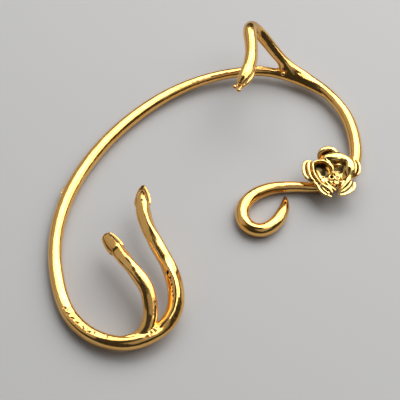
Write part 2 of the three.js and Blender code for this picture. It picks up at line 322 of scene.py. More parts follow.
# Casting pits: centre, the three half axes and how dark the painted shade in them is.
PITS = [
    ((-7.0, -18.7, 5.35), (0.24, 0.34, 0.3), 1.0),
    ((-6.55, -19.75, 5.28), (0.16, 0.24, 0.22), 0.9),
    ((-6.4, -20.3, 5.2), (0.12, 0.2, 0.18), 0.6),
    ((-6.25, -20.95, 5.12), (0.17, 0.26, 0.2), 1.0),
    ((-6.1, -21.6, 5.0), (0.14, 0.2, 0.18), 0.9),
    ((-6.15, -22.2, 4.9), (0.1, 0.18, 0.16), 0.6),
    ((-6.0, -22.9, 4.72), (0.17, 0.26, 0.2), 1.0),
    ((-5.8, -23.4, 4.6), (0.12, 0.16, 0.18), 0.9),
    ((-6.0, -23.9, 4.45), (0.15, 0.2, 0.2), 1.0),
    ((-5.7, -24.5, 4.28), (0.13, 0.18, 0.18), 0.9),
    ((-5.95, -24.85, 4.2), (0.1, 0.16, 0.16), 0.7),
    ((-5.8, -25.35, 4.02), (0.17, 0.22, 0.2), 1.0),
    ((-6.05, -26.0, 3.9), (0.13, 0.2, 0.18), 0.9),
    ((-5.85, -26.6, 3.65), (0.13, 0.16, 0.18), 0.8),
    ((-24.75, -24.1, 2.74), (0.5, 0.2, 0.3), 0.2),
    ((-24.2, -24.55, 2.86), (0.36, 0.16, 0.3), 0.0),
    ((-24.15, -25.3, 2.78), (0.5, 0.18, 0.26), 0.4),
    ((-23.5, -25.45, 2.94), (0.3, 0.2, 0.3), 0.1),
    ((-23.35, -26.25, 2.86), (0.55, 0.2, 0.27), 0.3),
    ((-22.65, -26.3, 3.0), (0.42, 0.16, 0.3), 0.0),
    ((-22.5, -27.1, 2.92), (0.5, 0.22, 0.28), 0.4),
    ((-21.75, -27.25, 3.08), (0.36, 0.26, 0.3), 0.1),
    ((-21.45, -28.05, 3.0), (0.22, 0.4, 0.28), 0.3),
    ((-20.75, -28.1, 3.14), (0.2, 0.42, 0.3), 0.0),
    ((-20.4, -28.9, 3.05), (0.4, 0.22, 0.26), 0.35),
    ((-19.5, -29.05, 3.2), (0.2, 0.4, 0.3), 0.1),
    ((-17.3, -29.9, 3.3), (0.16, 0.42, 0.3), 0.0),
]
# The painted shade lies a little wider than the pits.
PIT_SHADE_WIDTH = 1.15

# A spot of painted shade ends at SPOT_END times its half axes and fades over SPOT_FADE
# times them.
SPOT_END = 1.25
SPOT_FADE = 0.4
# A painted dark-brown reflection over the hook's bend, which fades more slowly.
HOOK_BEND_DARK_REFLECTION = [((8.1, 30.7, 11.8), (2.4, 2.2, 2.4), 0.5)]
BEND_REFLECTION_FADE = 1.1

# ---------------------------------------------------------------------------------------
# The flower
# ---------------------------------------------------------------------------------------

FLOWER_AXIS = (22.4, 2.7)
# The groove under the flower is the wire itself, grown by the gap, within a reach of the axis.
SEAT_GAP = 0.3
SEAT_REACH = 9
# The cup under the petals: radius and height.
CUP = [(0.02, 1.2), (1.5, 1.22), (2.2, 1.7), (2.6, 2.7), (2.3, 3.2), (0.02, 3.4)]
# Each petal climbs from its bottom point (x, y, height) to its rim, as a bowl (1) or straight
# like a cone (0). The rim's stations go anticlockwise as seen from above: x, y, height and
# the thickness of the lip.
PETALS = {
    "outer back": ((22.3, 4.0, 2.6), 1.0, [
        (23.6, 6.1, 3.8, 0.5), (23.45, 6.9, 4.0, 0.8), (22.9, 7.55, 4.15, 1.0),
        (21.9, 7.85, 4.2, 1.05), (20.8, 7.45, 4.1, 0.95), (20.25, 6.8, 3.9, 0.75),
        (20.05, 6.0, 3.6, 0.5)]),
    "outer left": ((20.5, 2.6, 2.4), 1.0, [
        (18.6, 5.5, 3.8, 0.5), (17.6, 4.9, 4.0, 0.6), (17.3, 3.4, 4.0, 0.7),
        (17.65, 1.95, 3.9, 0.7), (18.6, 1.1, 3.8, 0.6), (19.2, 0.7, 3.8, 0.5)]),
    "middle left": ((20.6, 2.4, 2.9), 1.0, [
        (18.8, 5.1, 4.3, 0.4), (18.3, 4.7, 4.35, 0.55), (18.2, 3.3, 4.25, 0.7),
        (18.6, 1.6, 4.05, 0.65), (19.4, 0.9, 3.95, 0.45)]),
    "outer front left": ((22.2, 1.4, 2.4), 1.0, [
        (19.0, 1.0, 3.9, 0.5), (19.35, 0.5, 3.95, 0.7), (19.9, -0.5, 3.8, 0.6),
        (20.5, -1.4, 3.7, 0.6), (21.6, -2.0, 3.65, 0.55), (22.2, -2.3, 3.7, 0.6)]),
    "second front left": ((22.3, 1.3, 2.6), 1.0, [
        (20.1, 0.1, 4.05, 0.35), (20.4, -0.35, 4.0, 0.4), (21.0, -1.1, 3.92, 0.4),
        (21.8, -1.75, 3.85, 0.4)]),
    "third front left": ((22.4, 1.3, 2.8), 1.0, [
        (20.3, 0.4, 4.2, 0.45), (20.75, -0.05, 4.15, 0.6), (21.7, -0.8, 4.1, 0.7),
        (22.4, -1.65, 3.9, 0.55)]),
    "inner front left": ((22.5, 1.5, 3.0), 1.0, [
        (20.9, 0.95, 4.2, 0.35), (21.2, 0.6, 4.15, 0.4), (22.05, -0.35, 4.1, 0.4),
        (23.0, -1.15, 4.0, 0.45)]),
    "outer front right": ((24.2, 0.9, 4.1), 0.0, [
        (23.2, -1.75, 3.85, 0.5), (23.4, -2.0, 3.8, 0.5), (24.3, -2.0, 3.75, 0.5),
        (25.5, -1.45, 3.7, 0.5), (26.3, -0.75, 3.7, 0.45), (26.55, 0.2, 3.75, 0.45),
        (26.4, 0.9, 3.8, 0.4)]),
    "middle front right": ((24.0, 1.0, 3.9), 0.3, [
        (23.45, -1.8, 3.95, 0.5), (24.45, -1.3, 4.0, 0.75), (25.4, -0.35, 4.05, 0.8),
        (25.95, 0.8, 4.1, 0.7)]),
    "inner front right": ((23.6, 1.2, 3.4), 0.5, [
        (23.25, -1.55, 4.1, 0.45), (23.9, -1.1, 4.2, 0.7), (24.65, -0.25, 4.3, 0.95),
        (25.35, 0.9, 4.45, 1.1), (25.7, 1.7, 4.45, 0.9)]),
    "outer right": ((23.8, 2.9, 2.4), 1.0, [
        (26.8, 2.1, 3.8, 0.45), (27.3, 2.7, 3.9, 0.45), (27.5, 3.85, 4.0, 0.45),
        (27.25, 5.0, 4.0, 0.45), (26.8, 5.6, 3.9, 0.4)]),
    "middle right": ((23.8, 2.8, 2.8), 1.0, [
        (26.4, 2.2, 4.2, 0.4), (26.75, 3.4, 4.4, 0.4), (26.65, 4.5, 4.4, 0.4),
        (26.3, 5.4, 4.3, 0.35)]),
    "inner left": ((20.5, 2.0, 3.1), 1.0, [
        (22.4, 2.5, 4.6, 0.7), (22.3, 3.3, 4.9, 0.65), (21.75, 4.0, 5.05, 0.55),
        (20.8, 4.55, 5.1, 0.5), (19.6, 4.5, 5.0, 0.5), (19.0, 4.1, 4.9, 0.45),
        (18.95, 3.3, 4.8, 0.4), (19.15, 2.2, 4.6, 0.4), (19.75, 1.05, 4.4, 0.45),
        (20.3, 0.35, 4.1, 0.45)]),
    "inner right": ((23.3, 1.7, 3.1), 1.0, [
        (25.4, 1.6, 4.45, 1.2), (25.65, 3.1, 4.75, 2.0), (25.6, 4.3, 4.85, 1.5),
        (24.9, 5.1, 4.95, 1.3), (23.8, 5.4, 5.1, 1.9), (22.6, 5.35, 5.1, 2.0),
        (21.35, 5.05, 5.05, 1.3), (21.9, 4.1, 5.05, 0.6), (22.4, 3.3, 4.9, 0.65),
        (22.5, 2.45, 4.6, 0.7)]),
}
PETAL_THICK = 0.4
PETAL_COLUMNS = 72
PETAL_ROWS = 20
RIM_POINTS = 400
# The lip thickens with this power of the climb, rounds over in steps, to a share of a half
# circle's rise; a petal's two sides thin by a share that grows with a power of the way out.
LIP_POWER = 7
LIP_STEPS = 9
LIP_RISE = 0.55
SIDE_THINNING = 0.5
SIDE_POWER = 8
# Small cast folds and stamens in the heart: centre and half axes.
STAMENS = [
    ((23.5, 4.05, 4.45), (0.66, 0.34, 0.34)),
    ((22.45, 2.4, 4.4), (0.34, 0.34, 0.3)),
    ((24.0, 1.55, 3.9), (0.25, 0.25, 0.4)),
    ((23.78, 0.75, 3.8), (0.25, 0.25, 0.4)),
    ((24.5, 0.6, 3.9), (0.28, 0.25, 0.35)),
    ((22.3, 0.35, 3.8), (0.28, 0.22, 0.3)),
    ((22.8, 1.2, 3.7), (0.2, 0.2, 0.35)),
]
# Open stamen ends: centre, radius and thickness of the ring.
STAMEN_RINGS = [
    ((22.3, 1.7, 4.0), 0.45, 0.3),
    ((23.3, 1.55, 4.05), 0.4, 0.28),
    ((23.15, 0.65, 3.95), 0.36, 0.26),
]
# Pits down the open stamens: centre and half axes.
STAMEN_PITS = [
    ((22.3, 1.7, 3.5), (0.28, 0.28, 0.9)),
    ((23.3, 1.55, 3.5), (0.24, 0.24, 0.9)),
    ((23.15, 0.65, 3.4), (0.2, 0.2, 0.8)),
    ((22.95, 4.75, 4.7), (0.3, 0.2, 0.5)),
]
# Hollows given painted shade: centre, half axes and strength.
SHADED_HOLLOWS = [
    ((20.5, 4.0, 4.25), (1.2, 0.5, 0.6), 1.0),
    ((21.95, 7.15, 3.6), (1.6, 0.55, 0.5), 0.9),
    ((22.75, 4.5, 4.8), (0.65, 0.4, 0.45), 1.0),
    ((24.0, 3.7, 4.2), (1.3, 1.1, 0.8), 0.1),
    ((22.6, 2.0, 3.4), (1.3, 0.8, 0.55), 0.9),
    ((26.35, 3.3, 3.9), (0.3, 1.6, 0.5), 0.9),
    ((25.95, 0.4, 3.9), (0.3, 1.1, 0.35), 0.9),
]
FLOWER_VOXEL = 0.08
# A crevice is as deep as a surface relaxed this many rounds stands over it; at RECESS_DEPTH
# it takes the full painted shade.
RECESS_ROUNDS = 60
RECESS_DEPTH = 0.14

# ---------------------------------------------------------------------------------------
# Gold: its tones, its roughness from best to worst polish, and the waves and grain in it,
# as waves per millimetre and depth in millimetres
# ---------------------------------------------------------------------------------------

PATCH_SCALE = 0.3
POLISH_SCALE = 0.9
WIRE_LOOK = {
    "tone": (0.94, 0.56, 0.18),
    "warm tone": (0.89, 0.5, 0.135),
    # Near-black painted shade and painted dark reflection, where the wire's attribute asks for
    # it.
    "painted shade tone": (0.12, 0.06, 0.02),
    "polish": (0.1, 0.2),
    "wave scale": 0.4,
    "wave depth": 0.1,
    "grain scale": 2.5,
    "grain depth": 0.006,
}
FLOWER_LOOK = {
    "tone": (0.86, 0.6, 0.22),
    "warm tone": (0.8, 0.53, 0.17),
    # Near-black painted shade in the flower's crevices and hollows.
    "painted shade tone": (0.1, 0.065, 0.025),
    "polish": (0.1, 0.2),
    "wave scale": 1.0,
    "wave depth": 0.05,
    "grain scale": 3.5,
    "grain depth": 0.006,
}

# ---------------------------------------------------------------------------------------
# The studio
# ---------------------------------------------------------------------------------------

# Soft boxes: bearing, elevation, distance, width, height and radiance.
LIGHTS = [
    ("overhead", 32, 48, 0.55, 0.62, 0.7, 2.5),
    ("front right", -60, 55, 0.6, 0.5, 0.44, 0.32),
    ("key", 80, 50, 0.5, 0.5, 0.4, 2.4),
    ("left", 148, 36, 0.6, 0.95, 0.7, 0.4),
]
ROOM_TONE = (0.04, 0.04, 0.042)
FLOOR_TONE = (0.455, 0.451, 0.447)
FLOOR_HALF = 2.0
FLOOR_DROP = 0.02
# The camera's aim, and the way from there back to the camera.
CAMERA_AIM = (-1.45, -0.65, 0.0)
CAMERA_BACK = (0.0, -144.5, 231.3)
CAMERA_LENS = 135

# ---------------------------------------------------------------------------------------
# Curves and surfaces
# ---------------------------------------------------------------------------------------


def column_rows(rows):
    """A table as an array of numbers."""
    return np.array(rows, float)


def fine_curve(points, per_span=SPAN_POINTS):
    """Centripetal Catmull-Rom: on each span a cubic Hermite whose end slopes come from the
    square roots of the distances between the four stations around it."""
    stations = np.array([2 * points[0] - points[1], *points, 2 * points[-1] - points[-2]])
    p0, p1, p2, p3 = stations[:-3], stations[1:-2], stations[2:-1], stations[3:]
    gaps = np.sqrt(np.linalg.norm(np.diff(stations, axis=0), axis=1))[:, None]
    d0, d1, d2 = gaps[:-2], gaps[1:-1], gaps[2:]
    slope1 = ((p1 - p0) / d0 - (p2 - p0) / (d0 + d1) + (p2 - p1) / d1) * d1
    slope2 = ((p2 - p1) / d1 - (p3 - p1) / (d1 + d2) + (p3 - p2) / d2) * d1
    t = np.linspace(0, 1, per_span, endpoint=False)[None, :, None]
    p1, p2, slope1, slope2 = (value[:, None, :] for value in (p1, p2, slope1, slope2))
    curve = (
        p1 * (2 * t**3 - 3 * t**2 + 1)
        + slope1 * (t**3 - 2 * t**2 + t)
        + p2 * (3 * t**2 - 2 * t**3)
        + slope2 * (t**3 - t**2)
    )
    return np.vstack([curve.reshape(-1, points.shape[1]), points[-1]])


def soften(values, step, softness):
    """Gaussian average along a path, with the ends mirrored through their end values."""
    reach = int(4 * softness / step)
    offsets = np.arange(-reach, reach + 1) * step
    weights = np.exp(-0.5 * (offsets / softness) ** 2)
    weights /= weights.sum()
    head = 2 * values[0] - values[reach:0:-1]
    tail = 2 * values[-1] - values[-2 : -reach - 2 : -1]
    padded = np.vstack([head, values, tail])
    return np.stack([np.convolve(column, weights, "valid") for column in padded.T], axis=1)


def distance_along(points):
    """Running sum of the distances between neighbouring points."""
    steps = np.linalg.norm(np.diff(points, axis=0), axis=1)
    return np.concatenate([[0.0], np.cumsum(steps)])


def unit(vectors):
    """Vectors brought to length 1."""
    return vectors / np.linalg.norm(vectors, axis=-1, keepdims=True)


def wire_path(rows, faces, crown=()):
    """A wire as a fine path: evenly spaced centres, the directions of side and top at each,
    square to the path and rolled about it, and the half width, half height and squareness of
    its section. A crown shapes the last stretch."""
    rows = column_rows(rows)
    centres = np.column_stack([rows[:, :2], rows[:, 2] + rows[:, 3] / 2])
    fine = fine_curve(np.column_stack([centres, rows[:, 3]]))
    along = distance_along(fine[:, :3])
    count = int(along[-1] / PATH_STEP) + 1
    even = np.linspace(0, along[-1], count)
    centre = np.stack([np.interp(even, along, fine[:, axis]) for axis in range(3)], axis=1)
    thick = np.interp(even, along[::SPAN_POINTS], rows[:, 3])[:, None]
    centre = soften(centre, PATH_STEP, PATH_SOFTNESS)
    thick = soften(thick, PATH_STEP, THICKNESS_SOFTNESS)[:, 0]
    wide, high = thick.copy(), thick.copy()
    faces = column_rows(faces)
    square, roll = (np.interp(even[-1] - even, faces[:, 0], faces[:, i]) for i in (1, 2))
    if len(crown):
        crown = column_rows(crown)[::-1]
        back = even[-1] - even
        on_crown = back < crown[-1, 0]
        blend = np.clip((crown[-1, 0] - back[on_crown]) / END_BLEND, 0, 1)
        for part, column in ((wide, 1), (high, 2)):
            shaped = np.interp(back[on_crown], crown[:, 0], crown[:, column])
            part[on_crown] += (shaped - part[on_crown]) * blend
        keep = back >= crown[0, 0]
        even, centre, square, roll = even[keep], centre[keep], square[keep], roll[keep]
        wide, high = wide[keep], high[keep]
    tangent = unit(np.gradient(centre, axis=0))
    level = unit(np.cross(UP, tangent))
    upright = np.cross(tangent, level)
    roll = np.radians(roll)[:, None]
    side = level * np.cos(roll) - upright * np.sin(roll)
    top = upright * np.cos(roll) + level * np.sin(roll)
    return {
        "along": even, "centre": centre, "side": side, "top": top,
        "wide": wide / 2, "high": high / 2, "square": square,
    }


def at_places(path, name, places):
    """One of a path's columns, read off at the given distances along it."""
    return np.stack(
        [np.interp(places, path["along"], values) for values in np.atleast_2d(path[name].T)],
        axis=-1,
    )


def ring_places(path, close_to):
    """Ring distances along a path: CLOSE_STEP apart near the given places, RING_STEP apart
    elsewhere, by spreading the rings evenly over the running sum of their density."""
    near = np.zeros(len(path["along"]))
    for x, y, reach in close_to:
        gap = np.hypot(path["centre"][:, 0] - x, path["centre"][:, 1] - y)
        near = np.maximum(near, np.clip((reach + CLOSE_FADE - gap) / CLOSE_FADE, 0, 1))
    density = 1 / (RING_STEP + (CLOSE_STEP - RING_STEP) * near)
    total = np.concatenate([[0], np.cumsum((density[1:] + density[:-1]) / 2 * PATH_STEP)])
    wanted = np.linspace(0, total[-1], int(math.ceil(total[-1])) + 1)
    return np.interp(wanted, total, path["along"])


def closed_tube(rings):
    """Points and blocks of faces of a tube through rings of points, with a point at each end:
    four-sided faces from ring to ring, and triangles to the two ends."""
    count, sides, _ = rings.shape
    ends = np.array([rings[0].mean(0), rings[-1].mean(0)])
    points = np.vstack([rings.reshape(-1, 3), ends])
    ring, corner = np.meshgrid(np.arange(count - 1), np.arange(sides), indexing="ij")
    following = (corner + 1) % sides
    quads = np.stack(
        [ring * sides + corner, ring * sides + following,
         (ring + 1) * sides + following, (ring + 1) * sides + corner], axis=-1,
    ).reshape(-1, 4)
    corner = np.arange(sides)
    following = (corner + 1) % sides
    first, last = count * sides, count * sides + 1
    base = (count - 1) * sides
    start = np.stack([np.full(sides, first), following, corner], axis=1)
    finish = np.stack([np.full(sides, last), base + corner, base + following], axis=1)
    return points, [quads, start, finish]


def bulge(wave, power):
    """A sine or cosine raised to a power with its sign kept: under 1 it squares a circle."""
    return np.sign(wave) * np.abs(wave) ** power


def wire_tube(path, close_to=()):
    """A wire's skin: centre + side * half width * cos^power + top * half height * sin^power
    round each ring."""
    places = ring_places(path, close_to)
    columns = ("centre", "side", "top", "wide", "high", "square")
    centre, side, top, wide, high, power = (
        at_places(path, name, places)[:, None, :] for name in columns
    )
    angle = np.linspace(0, 2 * math.pi, WIRE_SIDES, endpoint=False)[None, :, None]
    rings = (
        centre
        + unit(side) * wide * bulge(np.cos(angle), power)
        + unit(top) * high * bulge(np.sin(angle), power)
    )
    return closed_tube(rings)


def head_part(path, rows, square, dish=0.0):
    """A flange or crown along the end of a wire: at each distance back from the tip a
    superellipse, half width * cos^square across and half the height * sin^square up, its top
    dished by a given depth so that a rim is left standing."""
    rows = column_rows(rows)
    share = np.linspace(0, 1, HEAD_RINGS) ** HEAD_CROWDING
    back = rows[0, 0] + (rows[-1, 0] - rows[0, 0]) * share
    place = path["along"][-1] - back
    half, under, over = (np.interp(back, rows[:, 0], rows[:, column]) for column in (1, 2, 3))
    angle = np.linspace(0, 2 * math.pi, HEAD_SIDES, endpoint=False)
    across = bulge(np.cos(angle), square)
    up = bulge(np.sin(angle), square)
    bowl = np.where(up > 0, 1 - np.abs(across) ** 4, 0)
    depth = dish * np.clip((over - under) / 0.4 - 0.5, 0, 1)
    lift = (over + under)[:, None] / 2 + (over - under)[:, None] / 2 * up - depth[:, None] * bowl
    centre, side, top = (at_places(path, name, place) for name in ("centre", "side", "top"))
    rings = (
        centre[:, None, :]
        + unit(side)[:, None, :] * (half[:, None] * across)[..., None]
        + unit(top)[:, None, :] * lift[..., None]
    )
    return closed_tube(rings[::-1])


def ball(centre, half_axes, rows=16, columns=32):
    """An ellipsoid: centre + half axes * (sin latitude cos longitude, sin sin, cos)."""
    latitude = np.linspace(0, math.pi, rows)[1:-1, None]
    longitude = np.linspace(0, 2 * math.pi, columns, endpoint=False)[None, :]
    rings = np.stack(
        [np.sin(latitude) * np.cos(longitude), np.sin(latitude) * np.sin(longitude),
         np.cos(latitude) * np.ones_like(longitude)], axis=-1,
    )
    return closed_tube((rings * np.array(half_axes) + np.array(centre))[::-1])


def rod(start, finish, thick, sides=16, rings=8):
    """A straight round rod from start to finish."""
    start, finish = np.array(start), np.array(finish)
    tangent = unit(finish - start)
    side = unit(np.cross(UP, tangent))
    top = np.cross(tangent, side)
    angle = np.linspace(0, 2 * math.pi, sides, endpoint=False)[None, :, None]
    along = np.linspace(0, 1, rings)[:, None, None]
    around = side * np.cos(angle) + top * np.sin(angle)
    return closed_tube(start + (finish - start) * along + around * thick / 2)


# ---------------------------------------------------------------------------------------
# Working on meshes
# ---------------------------------------------------------------------------------------


def mesh_object(name, points, blocks):
    """An object from points and blocks of faces."""
    mesh = bpy.data.meshes.new(name)
    mesh.from_pydata(np.asarray(points).tolist(), [], sum((b.tolist() for b in blocks), []))
    mesh.validate()
    piece = bpy.data.objects.new(name, mesh)
    bpy.context.scene.collection.objects.link(piece)
    return piece


def apply_modifiers(piece):
    """Replaces a piece's mesh with what its modifiers make of it."""
    graph = bpy.context.evaluated_depsgraph_get()
    made = bpy.data.meshes.new_from_object(piece.evaluated_get(graph), depsgraph=graph)
    piece.modifiers.clear()
    old, piece.data = piece.data, made
    bpy.data.meshes.remove(old)
    return piece


def weld(base, others):
    """Joins closed bodies into one closed skin, one exact union after another."""
    for other in others:
        union = base.modifiers.new("weld", "BOOLEAN")
        union.operation = "UNION"
        union.solver = "EXACT"
        union.object = other
        apply_modifiers(base)
        bpy.data.objects.remove(other)
    return base


def carve(base, cutter):
    """Takes one body away from another."""
    cut = base.modifiers.new("carve", "BOOLEAN")
    cut.operation = "DIFFERENCE"
    cut.solver = "EXACT"
    cut.object = cutter
    apply_modifiers(base)
    bpy.data.objects.remove(cutter)
    return base


def vertices_of(piece):
    """A piece's vertices as an array."""
    points = np.empty(len(piece.data.vertices) * 3, np.float32)
    piece.data.vertices.foreach_get("co", points)
    return points.reshape(-1, 3).astype(float)


def set_vertices(piece, points):
    """Puts moved vertices back into a piece."""
    piece.data.vertices.foreach_set("co", np.asarray(points, np.float32).ravel())
    piece.data.update()


def join_bodies(name, bodies):
    """One mesh from several closed bodies, which may overlap."""
    points, blocks, first = [], [], 0
    for body_points, body_blocks in bodies:
        points.append(body_points)
        blocks += [first + block for block in body_blocks]
        first += len(body_points)
    return mesh_object(name, np.vstack(points), blocks)


def relax(piece, rounds, strength, movable=None):
    """Moves each vertex towards the average of its neighbours, round after round."""
    edges = np.empty(len(piece.data.edges) * 2, np.int32)
    piece.data.edges.foreach_get("vertices", edges)
    start, finish = edges.reshape(-1, 2).T
    count = len(piece.data.vertices)
    degree = np.bincount(start, minlength=count) + np.bincount(finish, minlength=count)
    points = vertices_of(piece)
    weight = strength if movable is None else strength * movable[:, None]
    for _ in range(rounds):
        total = np.stack(
            [np.bincount(start, points[finish, axis], count)
             + np.bincount(finish, points[start, axis], count) for axis in range(3)], axis=1,
        )
        points += (total / degree[:, None] - points) * weight
    set_vertices(piece, points)


def cast(piece, voxel):
    """Melts the bodies of a piece into one skin on a fine grid and softens it."""
    grid = piece.modifiers.new("cast", "REMESH")
    grid.mode = "VOXEL"
    grid.voxel_size = voxel
    apply_modifiers(piece)
    relax(piece, 2, 0.5)
    return piece


def wall_distance(points, path):
    """Distance of points from a wire's skin, and the direction away from its centre line, by
    the nearest of every second station of its path."""
    centre, radius = path["centre"][::2], (path["wide"] + path["high"])[::2] / 2
    gaps = np.linalg.norm(points[:, None, :] - centre[None, :, :], axis=2)
    nearest = gaps.argmin(axis=1)
    away = points - centre[nearest]
    return gaps[np.arange(len(points)), nearest] - radius[nearest], unit(away)


def fillet(piece, first, second, joint):
    """Fills the corner between two welded wires like solder: moves the skin out to where the
    smooth minimum of both wires' distances is nought. The smoothing is widest where the wires
    face away from each other, and fades out towards the joint's edge."""
    x, y, reach, softness = joint
    points = vertices_of(piece)
    from_joint = np.hypot(points[:, 0] - x, points[:, 1] - y)
    near = from_joint < reach
    fade = np.clip((reach - from_joint[near]) / FILLET_FADE, 0, 1)
    moved = points[near]
    for _ in range(FILLET_ROUNDS):
        gap1, away1 = wall_distance(moved, first)
        gap2, away2 = wall_distance(moved, second)
        facing = (1 - (away1 * away2).sum(axis=1)) / 2
        soft = softness * fade * np.clip(3 * facing, 0, 1) + 0.01
        share = np.clip(0.5 + 0.5 * (gap2 - gap1) / soft, 0, 1)
        blend = gap2 + (gap1 - gap2) * share - soft * share * (1 - share)
        away = unit(away1 * share[:, None] + away2 * (1 - share[:, None]))
        moved = moved - away * np.minimum(blend, 0)[:, None]
    points[near] = moved
    set_vertices(piece, points)


def painted_spot_share(points, spots, fade=SPOT_FADE):
    """How strongly painted shade darkens each point: a spot's full strength at its middle,
    fading out to nothing at SPOT_END times its half axes, over fade times them."""
    share = np.zeros(len(points))
    for centre, half_axes, strength in spots:
        reach = np.linalg.norm((points - np.array(centre)) / np.array(half_axes), axis=1)
        share = np.maximum(share, strength * np.clip((SPOT_END - reach) / fade, 0, 1))
    return share


def groove_shade_share(points, path, flange, crown):
    """Painted shade in the groove on a head: between the flange's rim and the foot of the
    crown, or right across in front of the crown."""
    flange, crown = column_rows(flange), column_rows(crown)
    head = path["along"] > path["along"][-1] - GROOVE_REACH
    centre = path["centre"][head]
    gaps = np.linalg.norm(points[:, None, :] - centre[None, :, :], axis=2)
    nearest = gaps.argmin(axis=1)
    back = (path["along"][-1] - path["along"][head])[nearest]
    out = points - centre[nearest]
    across = np.abs((out * path["side"][head][nearest]).sum(axis=1))
    above = (out * path["top"][head][nearest]).sum(axis=1)
    inside_rim = np.interp(back, flange[:, 0], flange[:, 1]) - RIM_WIDTH - across
    off_crown = across - np.interp(back, crown[:, 0], crown[:, 1], left=0) + GROOVE_EDGE
    share = np.clip(np.minimum(inside_rim, off_crown) / GROOVE_EDGE, 0, 1)
    on_head = (gaps.min(axis=1) < GROOVE_RADIUS) & (back > 0) & (back < GROOVE_REACH - 0.1)
    return share * (on_head & (above > 0))


def smooth_joins(piece, paths):
    """Smooths the seams where the cast necks run into the wires behind them."""
    points = vertices_of(piece)
    movable = np.zeros(len(points))
    for path in paths:
        back = path["along"][-1] - path["along"]
        on_seam = (back > NECK_REACH - NECK_RUN) & (back < NECK_REACH + SEAM_PAST)
        seam = path["centre"][on_seam][::4]
        gap = np.linalg.norm(points[:, None, :] - seam[None, :, :], axis=2).min(axis=1)
        movable = np.maximum(movable, np.clip((SEAM_REACH - gap) / SEAM_FADE, 0, 1))
    relax(piece, SEAM_ROUNDS, 0.5, movable)


def smooth_solder(piece, lumps):
    """Softens the creases between the lumps of solder and the wire that they lie on."""
    points = vertices_of(piece)
    centres = np.array([centre for centre, _ in lumps])
    gap = np.linalg.norm(points[:, None, :] - centres[None, :, :], axis=2).min(axis=1)
    relax(piece, SOLDER_ROUNDS, 0.5, np.clip((SOLDER_REACH - gap) / SOLDER_FADE, 0, 1))


def store_painted_shade(piece, share):
    """Keeps how much painted shade each vertex takes, 0 to 1, for the gold to read."""
    painted_shade = piece.data.attributes.new("painted_shade", "FLOAT", "POINT")
    painted_shade.data.foreach_set("value", np.clip(share, 0, 1).astype(np.float32))


def finish_piece(piece, node, material):
    """Scales a piece from millimetres to metres, shades it smooth and hands it to the frame."""
    set_vertices(piece, vertices_of(piece) * MM)
    piece.data.polygons.foreach_set("use_smooth", [True] * len(piece.data.polygons))
    piece.data.materials.clear()
    piece.data.materials.append(material)
    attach(piece, "root")
    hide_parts(node)
    return piece


# ---------------------------------------------------------------------------------------
# Gold
# ---------------------------------------------------------------------------------------

def gold(name, look):
    """Polished gold plate: a slow wave and a fine grain in the surface, a polish that comes
    and goes, a warmer tone in patches, and a near-black painted shade and painted dark
    reflection where the piece's attribute asks for it."""
    material = bpy.data.materials.new(name)
    material.use_nodes = True
    nodes, links = material.node_tree.nodes, material.node_tree.links
    nodes.clear()
    output = nodes.new("ShaderNodeOutputMaterial")
    shader = nodes.new("ShaderNodeBsdfPrincipled")
    links.new(shader.outputs["BSDF"], output.inputs["Surface"])
    shader.inputs["Metallic"].default_value = 1.0
    place = nodes.new("ShaderNodeTexCoord")
    per_mm = nodes.new("ShaderNodeMapping")
    per_mm.inputs["Scale"].default_value = (1 / MM, 1 / MM, 1 / MM)
    links.new(place.outputs["Object"], per_mm.inputs["Vector"])

    def noise(scale, detail):
        texture = nodes.new("ShaderNodeTexNoise")
        texture.inputs["Scale"].default_value = scale
        texture.inputs["Detail"].default_value = detail
        links.new(per_mm.outputs["Vector"], texture.inputs["Vector"])
        return texture.outputs["Fac"]

    def spread(source, low, high, to_low, to_high):
        ranged = nodes.new("ShaderNodeMapRange")
        for socket, value in (
            ("From Min", low), ("From Max", high), ("To Min", to_low), ("To Max", to_high),
        ):
            ranged.inputs[socket].default_value = value
        links.new(source, ranged.inputs["Value"])
        return ranged.outputs["Result"]

    def mix(share, first, second):
        mixed = nodes.new("ShaderNodeMix")
        mixed.data_type = "RGBA"
        links.new(share, mixed.inputs["Factor"])
        for socket, colour in ((6, first), (7, second)):
            if isinstance(colour, tuple):
                mixed.inputs[socket].default_value = (*colour, 1)
            else:
                links.new(colour, mixed.inputs[socket])
        return mixed.outputs[2]

    def bump(height, depth, under=None):
        raised = nodes.new("ShaderNodeBump")
        raised.inputs["Distance"].default_value = depth * MM
        raised.inputs["Strength"].default_value = 1.0
        links.new(height, raised.inputs["Height"])
        if under is not None:
            links.new(under, raised.inputs["Normal"])
        return raised.outputs["Normal"]

    patches = spread(noise(PATCH_SCALE, 3), 0.35, 0.65, 0, 1)
    # This attribute holds painted shade and painted dark reflection, 0 to 1.
    painted_shade = nodes.new("ShaderNodeAttribute")
    painted_shade.attribute_name = "painted_shade"
    tone = mix(patches, look["tone"], look["warm tone"])
    links.new(mix(painted_shade.outputs["Fac"], tone, look["painted shade tone"]), shader.inputs["Base Color"])
    links.new(
        spread(noise(POLISH_SCALE, 4), 0.3, 0.7, *look["polish"]),
        shader.inputs["Roughness"],
    )
    waves = bump(noise(look["wave scale"], 2), look["wave depth"])
    grain = bump(noise(look["grain scale"], 4), look["grain depth"], waves)
    links.new(grain, shader.inputs["Normal"])
    return material


# ---------------------------------------------------------------------------------------
# Pieces
# ---------------------------------------------------------------------------------------

